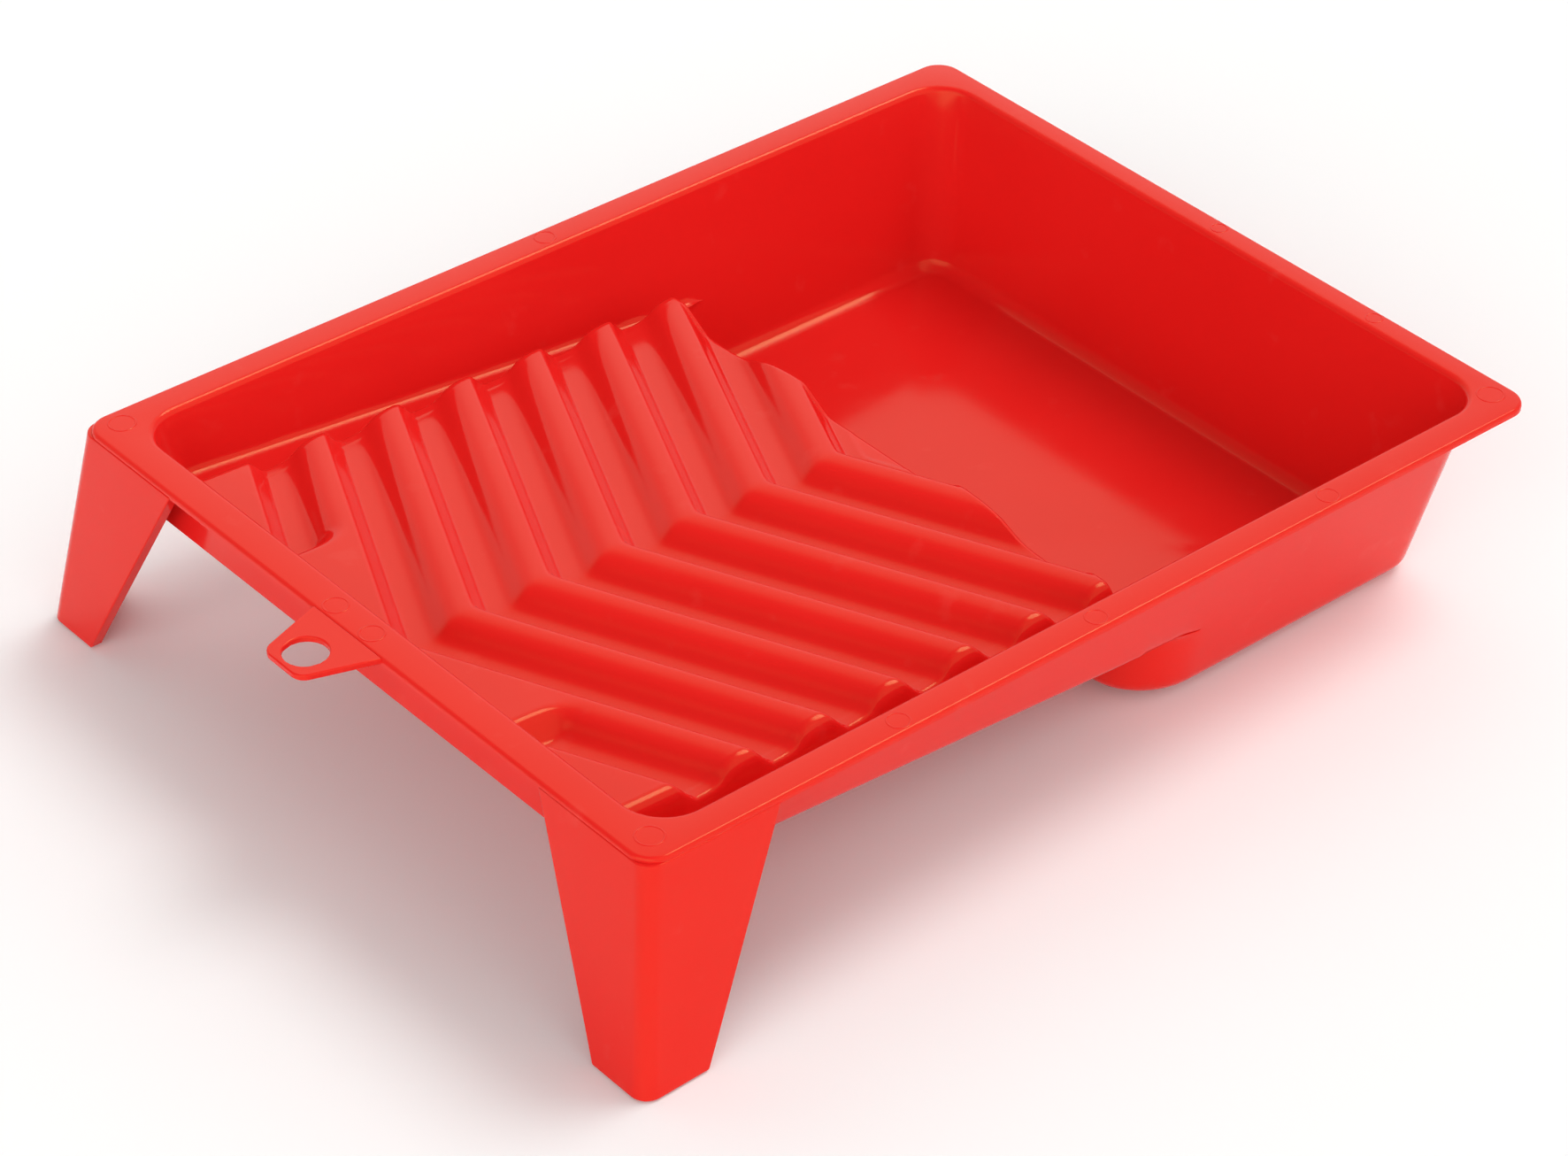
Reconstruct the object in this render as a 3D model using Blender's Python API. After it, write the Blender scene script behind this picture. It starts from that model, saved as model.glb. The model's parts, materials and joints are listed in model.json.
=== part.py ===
"""Paint roller tray with a V-ribbed ramp, two splayed legs and a hanging tab.

The real tray is one polypropylene moulding. Its regions are built as separate solids that
meet with a hairline gap: rim, well, ramp, walls, legs and tab, all in one rigid body.

All sizes are in millimetres, in the rim's frame: the rim's top plane is z = 0, x = 0 is the
tray's middle and +Y runs from the legs towards the well. add_part() turns them into metres,
and the empty "tray" stands the whole tray on its feet and on the rear edge of the well.
"""

import math

import bmesh
import bpy
from mathutils import Matrix

MM = 0.001
GAP = 0.3  # left between two regions that meet

# Rim: a flat flange with a shallow lip round its outer edge
RIM_HALF_WIDTH = 130.0
RIM_HALF_LENGTH = 167.9
RIM_CORNER = 8.0
RIM_THICKNESS = 1.8
LIP_HEIGHT = 2.4
LIP_WIDTH = 2.0

# The opening inside the rim, and the walls that lean inwards below it
MOUTH_HALF_WIDTH = 119.5
MOUTH_FRONT = -156.3
MOUTH_BACK = 159.4
MOUTH_CORNER = 14.0
DRAFT = 0.2  # millimetres inwards for each millimetre of depth
WALL = 1.8

# Well
WELL_DEPTH = 59.9  # inside, below the rim's top
WELL_SPLIT = -37.4  # where the upper walls end and the pan begins
PAN_FILLET = 8.0
PAN_FRONT_CORNER = 25.0
TOE_Y = 28.0  # the ramp's end, over the well
TOE_LEAN = 0.1

# Ramp: ribs in nested Vs, their points towards the legs
PITCH = 26.91  # along Y, from one rib to the next
ARM_SLOPE = 0.477  # how far an arm runs back for each millimetre sideways
FIRST_CREST_Y = 8.63
RIBS = 7
RAMP_HALF_WIDTH = 101.0
RAMP_FRONT = -154.0
CREST_AT_MIDDLE = -17.43
CREST_SLOPE = -0.048
RIB_HEIGHT = 6.4
SHEET = 2.0
LAND_HALF_WIDTH = 50.0  # the flat land at the front fills the last groove up to here
GROOVE_START = 56.0

# Underside of the gutters beside the ramp
UNDER_AT_Y0 = -34.93
UNDER_SLOPE = -0.0871

# Front wall
APRON_FRONT = -159.5
APRON_BOTTOM = -22.3

# Legs: angle sections that splay outwards
LEG_SHEET = 2.0
LEG_SPLAY_X = 0.154
LEG_SPLAY_Y = 0.148
LEG_CORNER = 5.5
LEG_RETURN = 4.0
LEG_HEIGHTS = (-8.0, -17.0, -43.0)
LEG_EDGE_AT_TOP = 84.0
LEG_EDGE_X = 88.0  # inner edge of the front plate, at the first height
LEG_TAPER = 0.5

# Hanging tab
TAB_ROOT_HALF_WIDTH = 16.0
TAB_TIP_HALF_WIDTH = 9.5
TAB_TIP_Y = -190.0
TAB_THICKNESS = 2.0
TAB_HOLE_Y = -181.6
TAB_HOLE_RADIUS = 6.6

# The tray stands on its feet and on the rear edge of the well's flat bottom
WELL_BOTTOM = -(WELL_DEPTH + WALL)
REAR_EDGE_Y = MOUTH_BACK + DRAFT * WELL_BOTTOM + WALL - PAN_FILLET * 0.8
GROUND_SLOPE = 0.0247

ARC_STEPS = 5
RED = (0.80, 0.030, 0.012, 1.0)


def ground(y):
    """Height of the floor that the tray stands on."""
    return WELL_BOTTOM + GROUND_SLOPE * (y - REAR_EDGE_Y)


def under(y):
    """Height of the gutters' underside."""
    return UNDER_AT_Y0 + UNDER_SLOPE * y


def wall_x(z):
    return MOUTH_HALF_WIDTH + DRAFT * z


def wall_corner(z):
    return MOUTH_CORNER + z * 4.0 / 60.0


def add_part(name, bm, parent, material):
    """Makes the object: metres, outward normals, smooth with sharp edges kept."""
    bmesh.ops.recalc_face_normals(bm, faces=bm.faces)
    bmesh.ops.scale(bm, vec=(MM, MM, MM), verts=bm.verts)
    mesh = bpy.data.meshes.new(name)
    bm.to_mesh(mesh)
    bm.free()
    mesh.shade_smooth()
    mesh.set_sharp_from_angle(angle=math.radians(32))
    part = bpy.data.objects.new(name, mesh)
    bpy.context.scene.collection.objects.link(part)
    part.parent = parent
    if material:
        mesh.materials.append(material)
    return part


def red_plastic(name):
    material = bpy.data.materials.new(name)
    material.use_nodes = True
    shader = material.node_tree.nodes["Principled BSDF"]
    shader.inputs["Base Color"].default_value = RED
    shader.inputs["Roughness"].default_value = 0.3
    shader.inputs["Metallic"].default_value = 0.0
    return material


def bridge(bm, first, second, closed=True):
    """Quads between two rows of vertices of the same length."""
    count = len(first)
    for i in range(count if closed else count - 1):
        j = (i + 1) % count
        bm.faces.new((first[i], first[j], second[j], second[i]))


def loft(rows, ring=False):
    """A solid through closed rows of points: capped at both ends, or joined into a ring."""
    bm = bmesh.new()
    rings = [[bm.verts.new(point) for point in row] for row in rows]
    for first, second in zip(rings, rings[1:]):
        bridge(bm, first, second)
    if ring:
        bridge(bm, rings[-1], rings[0])
    else:
        bm.faces.new(rings[0])
        bm.faces.new(rings[-1])
    return bm


def arc(x, y, radius, start, end):
    """Points on an arc, angles in degrees."""
    angles = [start + (end - start) * i / ARC_STEPS for i in range(ARC_STEPS + 1)]
    return [
        (x + radius * math.cos(math.radians(a)), y + radius * math.sin(math.radians(a)))
        for a in angles
    ]


def plan_loop(half_width, front, back, front_radius, back_radius, z):
    """A rounded rectangle at height z."""
    rf, rb = front_radius, back_radius
    points = arc(-half_width + rf, front + rf, rf, 180, 270)
    points += arc(half_width - rf, front + rf, rf, 270, 360)
    points += arc(half_width - rb, back - rb, rb, 0, 90)
    points += arc(-half_width + rb, back - rb, rb, 90, 180)
    return [(x, y, z) for x, y in points]


def rim_flange():
    def outer(inset, z):
        width, length = RIM_HALF_WIDTH - inset, RIM_HALF_LENGTH - inset
        radius = RIM_CORNER - inset
        return plan_loop(width, -length, length, radius, radius, z)

    def mouth(z):
        r = MOUTH_CORNER
        return plan_loop(MOUTH_HALF_WIDTH, MOUTH_FRONT, MOUTH_BACK, r, r, z)

    section = (
        mouth(0.0),
        outer(0.0, 0.0),
        outer(0.0, -LIP_HEIGHT),
        outer(LIP_WIDTH, -LIP_HEIGHT),
        outer(LIP_WIDTH, -RIM_THICKNESS),
        mouth(-RIM_THICKNESS),
    )
    return loft(section, ring=True)


def side_point(y, z, outwards):
    """A point of a side wall's face, moved outwards, at height z."""
    return (wall_x(z) + outwards, y, z)


def corner_point(angle, z, outwards, back):
    """A point of a vertical corner's face: angle in degrees, 0 is +X."""
    radius = wall_corner(z)
    x = wall_x(z) - radius
    if back:
        y = MOUTH_BACK + DRAFT * z - radius
    else:
        y = MOUTH_FRONT - DRAFT * z + radius
    radius += outwards
    a = math.radians(angle)
    return (x + radius * math.cos(a), y + radius * math.sin(a), z)


def side_wall():
    """Right side wall with its gutter floor, from the toe to past the front corner."""
    top = -RIM_THICKNESS - GAP
    edge_x = RAMP_HALF_WIDTH + GAP
    corner_y = MOUTH_FRONT + MOUTH_CORNER
    sections = []
    for y in (TOE_Y, -40.0, -100.0, corner_y + 1.0):
        low = under(y)
        high = low + WALL
        sections.append(
            [
                side_point(y, top, WALL),
                side_point(y, top, 0.0),
                side_point(y, high, 0.0),
                (edge_x, y, high),
                (edge_x, y, low),
                side_point(y, low, WALL),
            ]
        )
    for step in range(1, ARC_STEPS + 1):
        angle = -90.0 * step / ARC_STEPS
        low = under(corner_y) - UNDER_SLOPE * 10.0 * step / ARC_STEPS
        high = low + WALL
        edge_y = corner_y - 9.5 * step / ARC_STEPS
        sections.append(
            [
                corner_point(angle, top, WALL, False),
                corner_point(angle, top, 0.0, False),
                corner_point(angle, high, 0.0, False),
                (edge_x, edge_y, high),
                (edge_x, edge_y, low),
                corner_point(angle, low, WALL, False),
            ]
        )
    return loft(sections)


def mirrored(bm):
    """The left-hand copy of a right-hand piece."""
    bmesh.ops.transform(bm, matrix=Matrix.Scale(-1.0, 4, (1.0, 0.0, 0.0)), verts=bm.verts)
    return bm


def front_wall():
    """The drafted front wall and the apron that hangs below it."""
    top = -RIM_THICKNESS - GAP
    end = wall_x(-20.0) - wall_corner(-20.0) - GAP
    foot = -12.8
    section = (
        (APRON_FRONT, top),
        (APRON_FRONT, APRON_BOTTOM),
        (APRON_FRONT + WALL, APRON_BOTTOM),
        (APRON_FRONT + WALL, foot - 1.6),
        (RAMP_FRONT - GAP, foot),
        (MOUTH_FRONT - DRAFT * top, top),
    )
    rows = [[(x, y, z) for y, z in section] for x in (-end, end)]
    return loft(rows)


def well_wall():
    """Upper walls of the well: right side, back and left side in one U."""
    top = -RIM_THICKNESS - GAP
    low = WELL_SPLIT

    def section(point):
        return [point(top, WALL), point(top, 0.0), point(low, 0.0), point(low, WALL)]

    right = [section(lambda z, out: side_point(TOE_Y + GAP, z, out))]
    for step in range(ARC_STEPS + 1):
        angle = 90.0 * step / ARC_STEPS
        right.append(section(lambda z, out: corner_point(angle, z, out, True)))
    left = [[(-x, y, z) for x, y, z in row] for row in reversed(right)]
    return loft(right + left)


def well_pan():
    """The lower well: side, back and front walls, and the floor."""
    top = WELL_SPLIT - GAP

    def loop(z, out, fillet_in, front_radius):
        half_width = wall_x(z) + out - fillet_in
        back = MOUTH_BACK + DRAFT * z + out - fillet_in
        front = TOE_Y + TOE_LEAN * (-25.0 - z) - out + fillet_in
        back_radius = wall_corner(z) + out
        return plan_loop(half_width, front, back, front_radius, back_radius, z)

    bottom = WELL_BOTTOM
    fillet = PAN_FILLET
    inside = fillet - WALL
    floor = bottom + WALL
    big = PAN_FRONT_CORNER
    outer = [
        loop(bottom, WALL, fillet * 0.8, big - 6.0),
        loop(bottom + fillet * 0.15, WALL, fillet * 0.35, big - 2.0),
        loop(bottom + fillet * 0.45, WALL, fillet * 0.08, big),
        loop(bottom + fillet * 0.85, WALL, 0.0, big),
        loop(top - 1.9, WALL, 0.0, big),
        loop(top, WALL, 0.0, 4.0),
    ]
    inner = [
        loop(top, 0.0, 0.0, 3.0),
        loop(top - 1.9 + WALL - 1.2, 0.0, 0.0, big - WALL),
        loop(floor + inside * 0.85, 0.0, 0.0, big - WALL),
        loop(floor + inside * 0.45, 0.0, inside * 0.08, big - WALL),
        loop(floor + inside * 0.15, 0.0, inside * 0.35, big - 4.0),
        loop(floor, 0.0, inside * 0.8, big - 8.0),
    ]
    return loft(outer + inner)


def rib_profile():
    """(phase, depth) over one pitch: crest, steep back, trough, rising front, crest."""
    h = RIB_HEIGHT
    return (
        (0.0, 0.0),
        (0.18, -0.97 * h),
        (0.37, -h),
        (0.56, -0.96 * h),
        (0.67, -0.74 * h),
        (0.85, -0.18 * h),
        (0.93, -0.03 * h),
    )


def ramp_rows():
    """(phase, depth at the middle, depth at the sides) from the front land to the toe."""
    rows = [(-RIBS - 1.2, 0.0, 0.0)]
    for pitch in range(-RIBS, 0):
        for phase, depth in rib_profile():
            middle = 0.0 if pitch == -RIBS else depth
            rows.append((pitch + phase, middle, depth))
    for phase, depth in rib_profile()[:4]:
        rows.append((phase, depth, depth))
    rows.append((1.2, -RIB_HEIGHT, -RIB_HEIGHT))
    return rows


def ramp_block(half_width, lowered, depth_below):
    """A block under the ribbed surface, its base parallel to the gutters."""
    columns = (-half_width, -GROOVE_START, -LAND_HALF_WIDTH, 0.0)
    columns += (LAND_HALF_WIDTH, GROOVE_START, half_width)
    outlines = []
    for phase, middle, side in ramp_rows():
        top, base = [], []
        for x in columns:
            y = FIRST_CREST_Y + PITCH * phase + ARM_SLOPE * abs(x)
            depth = middle if abs(x) <= LAND_HALF_WIDTH else side
            z = CREST_AT_MIDDLE + CREST_SLOPE * y + depth - lowered
            top.append((x, y, z))
            base.append((x, y, under(y) - depth_below))
        outlines.append(top + base[::-1])
    return loft(outlines)


def box(x0, x1, y0, y1, z0, z1):
    bm = bmesh.new()
    bmesh.ops.create_cube(bm, size=1.0)
    bmesh.ops.scale(bm, vec=(x1 - x0, y1 - y0, z1 - z0), verts=bm.verts)
    middle = ((x0 + x1) / 2, (y0 + y1) / 2, (z0 + z1) / 2)
    bmesh.ops.translate(bm, vec=middle, verts=bm.verts)
    return bm


def cutter(name, bm, parent):
    part = add_part(name, bm, parent, None)
    part.hide_render = True
    part.display_type = "WIRE"
    return part


def boolean(part, other, operation):
    modifier = part.modifiers.new(other.name, "BOOLEAN")
    modifier.object = other
    modifier.operation = operation
    modifier.solver = "EXACT"


def ramp_panel(parent, material):
    """Ribbed sheet with a skirt at both sides and down the toe."""
    panel = add_part("ramp_panel", ramp_block(RAMP_HALF_WIDTH, 0.0, 0.0), parent, material)
    hollow = cutter(
        "ramp_hollow", ramp_block(RAMP_HALF_WIDTH - WALL, SHEET, 6.0), parent
    )
    wide = RAMP_HALF_WIDTH + 20.0
    far = RAMP_FRONT - 40.0
    length = cutter(
        "ramp_length", box(-wide, wide, RAMP_FRONT, TOE_Y, -80.0, 20.0), parent
    )
    hollow_length = cutter(
        "ramp_hollow_length", box(-wide, wide, far, TOE_Y - WALL, -90.0, 30.0), parent
    )
    boolean(hollow, hollow_length, "INTERSECT")
    boolean(panel, length, "INTERSECT")
    boolean(panel, hollow, "DIFFERENCE")
    return panel


def leg_section(z):
    """Outline of the right leg at depth z, where z may be a function of y."""
    depth = z if not callable(z) else z(-RIM_HALF_LENGTH)
    x = RIM_HALF_WIDTH - LEG_SPLAY_X * depth
    y = -RIM_HALF_LENGTH + LEG_SPLAY_Y * depth
    inner_x = LEG_EDGE_X + LEG_TAPER * (LEG_HEIGHTS[0] - depth)
    rear_y = -126.0 - LEG_TAPER * 0.97 * (LEG_HEIGHTS[0] - depth)
    if depth > LEG_HEIGHTS[0]:
        inner_x -= 4.0
        rear_y += 4.0
    t, back = LEG_SHEET, LEG_RETURN
    outline = [(inner_x, y + back), (inner_x, y)]
    outline += arc(x - LEG_CORNER, y + LEG_CORNER, LEG_CORNER, -90, 0)
    outline += [(x, rear_y), (x - back, rear_y), (x - back, rear_y - t), (x - t, rear_y - t)]
    inner_radius = LEG_CORNER - t
    outline += arc(x - LEG_CORNER, y + LEG_CORNER, inner_radius, 0, -90)
    outline += [(inner_x + t, y + t), (inner_x + t, y + back)]
    return [(px, py, z(py) if callable(z) else z) for px, py in outline]


def leg():
    sections = [leg_section(-LIP_HEIGHT - GAP)]
    sections += [leg_section(z) for z in LEG_HEIGHTS]
    sections.append(leg_section(ground))
    return loft(sections)


def tab_outline():
    """Corners of the tab, its tip rounded."""
    root_y = -RIM_HALF_LENGTH - GAP
    r = 4.5
    points = [(-TAB_ROOT_HALF_WIDTH, root_y)]
    points += arc(-TAB_TIP_HALF_WIDTH + r, TAB_TIP_Y + r, r, 190, 270)
    points += arc(TAB_TIP_HALF_WIDTH - r, TAB_TIP_Y + r, r, 270, 350)
    points.append((TAB_ROOT_HALF_WIDTH, root_y))
    return points


def hanging_tab():
    """A flat plate whose hole is bridged to its outline."""
    outline = tab_outline()
    hole = []
    for x, y in outline:
        reach = math.hypot(x, y - TAB_HOLE_Y)
        scale = TAB_HOLE_RADIUS / reach
        hole.append((x * scale, TAB_HOLE_Y + (y - TAB_HOLE_Y) * scale))
    root = arc(0.0, TAB_HOLE_Y, TAB_HOLE_RADIUS, 50, 130)[1:-1]
    root_y = outline[0][1]
    flat = [((8.0 - 4.0 * i) * 1.6, root_y) for i in range(len(root))]
    hole += root
    outline += flat
    rows = (
        [(x, y, 0.0) for x, y in outline],
        [(x, y, -TAB_THICKNESS) for x, y in outline],
        [(x, y, -TAB_THICKNESS) for x, y in hole],
        [(x, y, 0.0) for x, y in hole],
    )
    return loft(rows, ring=True)


def standing_frame():
    """The empty that stands the tray on the floor, its box's middle at x = y = 0."""
    tray = bpy.data.objects.new("tray", None)
    bpy.context.scene.collection.objects.link(tray)
    tilt = -math.atan(GROUND_SLOPE)
    middle_y = (RIM_HALF_LENGTH + TAB_TIP_Y) / 2 * math.cos(tilt)
    tray.rotation_euler = (tilt, 0.0, 0.0)
    tray.location = (0.0, -middle_y * MM, -ground(0.0) * math.cos(tilt) * MM)
    return tray


def main():
    for old in list(bpy.data.objects):
        bpy.data.objects.remove(old, do_unlink=True)
    tray = standing_frame()
    pieces = {
        "rim_flange": rim_flange(),
        "front_wall": front_wall(),
        "side_wall_right": side_wall(),
        "side_wall_left": mirrored(side_wall()),
        "well_wall": well_wall(),
        "well_pan": well_pan(),
        "leg_right": leg(),
        "leg_left": mirrored(leg()),
        "hanging_tab": hanging_tab(),
    }
    for name, bm in pieces.items():
        add_part(name, bm, tray, red_plastic(name))
    ramp_panel(tray, red_plastic("ramp_panel"))


main()
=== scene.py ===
import json
import math

import bmesh
import bpy
from mathutils import Matrix, Vector

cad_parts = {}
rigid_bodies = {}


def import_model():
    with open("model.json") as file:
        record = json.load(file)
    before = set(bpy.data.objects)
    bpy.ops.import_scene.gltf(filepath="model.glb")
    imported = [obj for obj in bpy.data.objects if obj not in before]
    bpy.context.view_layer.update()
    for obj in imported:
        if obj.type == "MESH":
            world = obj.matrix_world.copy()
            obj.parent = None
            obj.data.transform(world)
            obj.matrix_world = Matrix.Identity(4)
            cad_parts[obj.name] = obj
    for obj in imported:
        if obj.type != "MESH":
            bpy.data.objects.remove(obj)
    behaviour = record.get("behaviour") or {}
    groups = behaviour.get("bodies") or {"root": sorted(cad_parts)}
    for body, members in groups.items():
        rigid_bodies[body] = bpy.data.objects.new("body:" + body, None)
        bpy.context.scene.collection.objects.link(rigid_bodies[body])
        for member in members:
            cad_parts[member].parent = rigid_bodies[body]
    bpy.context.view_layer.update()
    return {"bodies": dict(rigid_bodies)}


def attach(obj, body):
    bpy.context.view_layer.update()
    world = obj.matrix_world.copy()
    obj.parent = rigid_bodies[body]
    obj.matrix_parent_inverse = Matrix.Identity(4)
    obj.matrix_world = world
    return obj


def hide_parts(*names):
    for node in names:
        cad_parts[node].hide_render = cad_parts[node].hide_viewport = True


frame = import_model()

# ---------------------------------------------------------------------------------------
# Sizes in millimetres, in the rim's frame: the rim's top plane is z = 0, x = 0 is the
# middle, and +Y runs from the legs towards the well. TRAY turns them into the row frame.
# ---------------------------------------------------------------------------------------
MM = 0.001

# The rim: half its width and length, its corners, and the lip turned down all round
RIM_X, RIM_Y, RIM_CORNER = 130.0, 167.9, 8.0
LIP_HEIGHT, LIP_WIDTH = 2.4, 2.0
LIP_EDGE, LIP_INNER_EDGE = 0.25, 0.2  # bevels of the lip's lower edge
UNDER_STEP = 0.25  # spaces the points under the rim's rounded edge
RIM_EDGE = 1.2  # rounding of the rim's outer edge

# The mouth: where the walls' planes cut the rim's top plane
MOUTH_X, MOUTH_FRONT, MOUTH_BACK = 119.5, -156.3, 159.4
MOUTH_CORNER, CORNER_TAPER = 14.0, 4.0 / 60.0  # radius, and how it shrinks downwards
MOUTH_EDGE = 2.2  # rounding from the rim's top into the walls
DRAFT = 0.2  # how far the walls lean in, per millimetre down
WALL_LEAN = math.atan(DRAFT)
SHEET = 1.8  # thickness of the moulding

# The well, whose lower part, the tub, has large rounded corners at the front
WELL_FLOOR, WELL_FILLET = -59.9, 5.2
TUB_TOP, TUB_CORNER = -37.7, 23.0
WELL_STRAIGHT_END = 136.0  # the side walls' straight part ends here
BACK_STRAIGHT_END = 95.0  # and the back wall's here

# The ramp and its ribs
RIBS, PITCH, RIB_HEIGHT = 7, 26.91, 6.6
FIRST_CREST_Y, ARM_SLOPE = 8.63, 0.477  # the last V's point, and its arms' lean
POINT_SOFTNESS, POINT_SETBACK = 1.5, 0.6  # how far the V's point is rounded
CREST_AT_MIDDLE, CREST_SLOPE = -17.43, -0.048
TROUGH_PHASE = 0.45  # past the last rib the panel stays at its trough's depth
LAST_PHASE = 0.7  # rows beyond this would lie past the toe at every x
PANEL_FRONT, FRONT_FILLET = -152.0, 2.0
GROOVE_START, GROOVE_FULL = 49.0, 57.0  # the first groove deepens between these
TIP_FACE, TIP_END = 99.9, 102.6  # the ribs' steep end faces, from shoulder to gutter
TIP_ROUND_CREST, TIP_ROUND_TROUGH = 4.6, 1.8  # radius of the shoulder above the end face
TIP_STEEP = math.radians(80.0)
TIP_START = TIP_FACE - TIP_ROUND_CREST
TIP_FOOT = 1.0  # how softly they meet the gutter
TIP_FADE = TIP_END - 1.0  # past here they are drawn down to it

# The toe, the well's front wall, which leans forward of upright
TOE_START, TOE_ROUND, TOE_LEAN, TOE_LEVEL = 26.0, 2.0, 0.1, -25.0
TOE_ROUND_SHARE = 0.45  # where the panel is low, the round takes at most this of its height

# The gutters beside the ramp, and the shelf where each ends over the tub's corner
UNDER_AT_Y0, UNDER_SLOPE = -34.93, -0.0871
GUTTER_FILLET = 3.0
GUTTER_CORNER_END = -139.5
SHELF, SHELF_ROUND = -36.2, 2.2

APRON_X, APRON_FRONT, APRON_BOTTOM = 116.5, -159.5, -22.3
APRON_TOP = -2.1

LEG_SHEET, LEG_CORNER, LEG_RETURN = 2.0, 5.5, 4.0
LEG_TOP, LEG_LOW = -1.6, -60.0  # the top laps the rim's lip; below the low level is the foot
LEG_SPLAY_X, LEG_SPLAY_Y = 0.154, 0.148
LEG_EDGE_LEVEL = -8.0  # where the next two are given
LEG_INNER_X, LEG_INNER_TAPER = 88.0, 0.5
LEG_REAR_Y, LEG_REAR_TAPER = -126.0, 0.485

TAB_ROOT, TAB_TIP, TAB_TIP_Y, TAB_THICKNESS = 15.8, 9.5, -190.0, 2.0
TAB_CORNER, TAB_OVERLAP, TAB_TOP = 4.5, 0.4, -0.03
TAB_HOLE_Y, TAB_HOLE_R = -181.6, 6.6

# The tray stands on its feet and on the well's rear fillet, so it leans by this slope
GROUND_SLOPE = 0.0247
PAN_FILLET, TOUCHING_SHARE = 8.0, 0.8
WELL_BOTTOM = WELL_FLOOR - SHEET
REAR_EDGE_Y = MOUTH_BACK + DRAFT * WELL_BOTTOM + SHEET - PAN_FILLET * TOUCHING_SHARE

MERGE = 0.004  # points of neighbouring patches closer than this are one
SAME = 1e-6
QUARTERS = (0.25, 0.5, 0.75, 1.0)


def ground(y):
    """Height of the surface that the tray stands on."""
    return WELL_BOTTOM + GROUND_SLOPE * (y - REAR_EDGE_Y)


TILT = -math.atan(GROUND_SLOPE)
MIDDLE_Y = (RIM_Y + TAB_TIP_Y) / 2 * math.cos(TILT)
TRAY = Matrix.Translation((0.0, -MIDDLE_Y * MM, -ground(0.0) * math.cos(TILT) * MM))
TRAY = TRAY @ Matrix.Rotation(TILT, 4, "X") @ Matrix.Scale(MM, 4)


def smooth(value, low, high):
    """0 at low, 1 at high, with a soft start and end."""
    t = min(1.0, max(0.0, (value - low) / (high - low)))
    return t * t * (3 - 2 * t)


def spread(first, last, count):
    """Evenly spaced numbers, both ends included."""
    return [first + (last - first) * i / (count - 1) for i in range(count)]


# ---------------------------------------------------------------------------------------
# The ribbed ramp
# ---------------------------------------------------------------------------------------
# A rib's section: a 2 mm round and a 55 degree face down to the trough, then an S up to the
# next crest. Each point is (millimetres across the arm from a crest towards the well, depth
# as a share of the rib's height).
RIB_POINTS = (
    (0.0, 0.0), (0.8, 0.019), (1.2, 0.051), (1.7, 0.128), (3.0, 0.399), (4.5, 0.711),
    (5.4, 0.895), (5.9, 0.968), (6.5, 0.997), (7.2, 1.0), (8.4, 0.992), (10.0, 0.973),
    (11.5, 0.939), (12.7, 0.889), (13.6, 0.827), (14.4, 0.742), (15.2, 0.630),
    (16.6, 0.418), (17.4, 0.309), (18.4, 0.209), (20.0, 0.106), (22.0, 0.030), (24.29, 0.0),
)
RIB_FALL, RIB_ACROSS = 7.2, RIB_POINTS[-1][0]


def rib_depth(phase):
    """Depth below the crest plane, 0 to 1, for a phase of 0 to 1 over one pitch.

    A smooth cubic through RIB_POINTS, level at both crests.
    """
    points = RIB_POINTS
    across = phase * RIB_ACROSS
    k = 0
    while k < len(points) - 2 and across > points[k + 1][0]:
        k += 1
    (start, depth0), (end, depth1) = points[k], points[k + 1]

    def slope(i):
        if i <= 0 or i >= len(points) - 1:
            return 0.0
        (before, depth_before), (after, depth_after) = points[i - 1], points[i + 1]
        return (depth_after - depth_before) / (after - before)

    width = end - start
    t = (across - start) / width
    rise0, rise1 = slope(k) * width, slope(k + 1) * width
    to_end = t * t * (3 - 2 * t)
    curved = depth0 + (depth1 - depth0) * to_end
    return curved + (t ** 3 - 2 * t ** 2 + t) * rise0 + (t ** 3 - t ** 2) * rise1


def soft_abs(x):
    return math.hypot(x, POINT_SOFTNESS) - POINT_SOFTNESS * POINT_SETBACK


def phase_at(x, y):
    """How many pitches a point lies towards the well from the last V's crest."""
    return (y - FIRST_CREST_Y - ARM_SLOPE * soft_abs(x)) / PITCH


def row_y(x, phase):
    """Where the V line of a phase passes x."""
    return FIRST_CREST_Y + PITCH * phase + ARM_SLOPE * soft_abs(x)


def gutter_z(y):
    return UNDER_AT_Y0 + UNDER_SLOPE * y + SHEET


def ramp_z(x, y):
    """Height of the ribbed panel, its ends and the gutter's edge."""
    phase = phase_at(x, y)
    if phase < -RIBS:
        depth = 0.0
    elif phase > TROUGH_PHASE:
        depth = 1.0
    else:
        depth = rib_depth(phase - math.floor(phase))
        if phase < -RIBS + 1:
            depth *= smooth(abs(x), GROOVE_START, GROOVE_FULL)
    panel = CREST_AT_MIDDLE + CREST_SLOPE * y - RIB_HEIGHT * depth
    low = gutter_z(y)
    above = panel - tip_drop(abs(x), depth) - low
    softened = (above + math.hypot(above, TIP_FOOT)) / 2 if abs(x) > TIP_START else above
    return low + softened * (1.0 - smooth(abs(x), TIP_FADE, TIP_END))


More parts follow.
